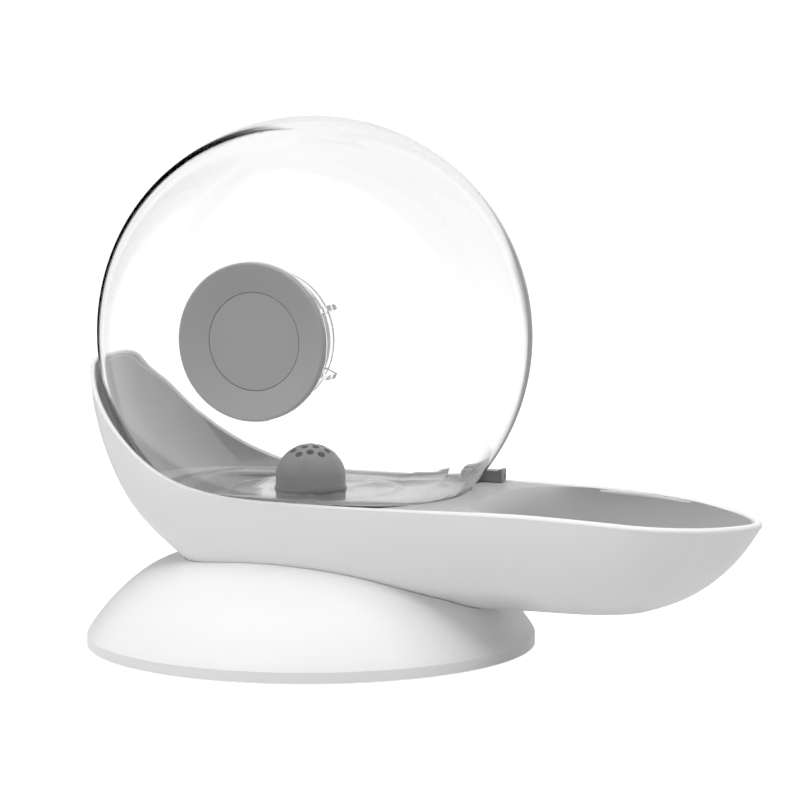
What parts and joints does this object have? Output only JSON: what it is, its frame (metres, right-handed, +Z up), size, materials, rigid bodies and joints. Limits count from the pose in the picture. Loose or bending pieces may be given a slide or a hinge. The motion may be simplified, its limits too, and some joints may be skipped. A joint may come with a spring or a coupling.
{
  "type": "gravity pet water dispenser",
  "caption": "Snail-shaped gravity pet water dispenser: clear bubble tank with side filler cap and strainer on a long tray with drinking bowl and round domed stand.",
  "frame": {"origin": "centre of the anti-slip foot's underside, on the table, under the middle of the round stand", "axes": "+X from the stand towards the drinking bowl's tip, +Y to the rear, away from the filler cap, +Z up"},
  "size_m": [0.3082, 0.2, 0.2344],
  "materials": {
    "white_shell": "satin white polypropylene",
    "white_plate": "matt white polypropylene",
    "grip_rubber": "matt anti-slip rubber",
    "screw_steel": "stainless steel",
    "white_body": "satin white polypropylene, light grey on the inside faces",
    "grey_tray": "satin light grey polypropylene",
    "seat_rubber": "soft translucent grey silicone",
    "duct_plastic": "satin light grey polypropylene",
    "clear_tank": "clear glossy copolyester",
    "grey_plastic": "satin mid-grey ABS",
    "spring_steel": "stainless spring wire",
    "filter_foam": "open-cell filter sponge"
  },
  "bodies": {
    "stand": {"base_shell": "white_shell", "base_plate": "white_plate", "foot_pad": "grip_rubber", "plate_screws": "screw_steel", "hull_screws": "screw_steel", "tray_screws": "screw_steel", "outer_hull": "white_body", "inner_tray": "grey_tray", "seat_ring": "seat_rubber", "water_duct": "duct_plastic", "duct_seals": "seat_rubber", "lift_post": "duct_plastic", "catch_pin": "screw_steel"},
    "tank": {"tank_shell": "clear_tank", "outlet_collar": "grey_plastic", "outlet_seal": "seat_rubber", "outlet_nut": "grey_plastic", "valve_spring": "spring_steel"},
    "valve": {"valve_stem": "grey_plastic", "valve_clip": "spring_steel", "valve_washer": "seat_rubber"},
    "strainer": {"strainer_dome": "grey_plastic", "filter_pad": "filter_foam"},
    "cap": {"cap_shell": "grey_plastic", "cap_disc": "grey_plastic", "cap_seal": "seat_rubber"},
    "catch": {"tank_catch": "grey_plastic"}
  },
  "joints": [
    {"name": "tank_lift", "type": "slide", "parent": "stand", "child": "tank", "axis": [0, 0, 1], "range_m": [0, 0.09]},
    {"name": "valve_stroke", "type": "slide", "parent": "tank", "child": "valve", "axis": [0, 0, 1], "range_m": [-0.003, 0], "deforming": ["valve_spring"]},
    {"name": "strainer_lift", "type": "slide", "parent": "tank", "child": "strainer", "axis": [0, 0, 1], "range_m": [0, 0.04]},
    {"name": "cap_pull", "type": "slide", "parent": "tank", "child": "cap", "axis": [0, -1, 0], "range_m": [0, 0.06]},
    {"name": "catch_swing", "type": "hinge", "parent": "stand", "child": "catch", "pos_m": [0.06525, 0.0476, 0.072], "axis": [-1, 0, 0], "range_deg": [0, 30]}
  ],
  "couplings": [
    {"joint": "valve_stroke", "follows": "tank_lift", "ratio": -0.03333}
  ]
}
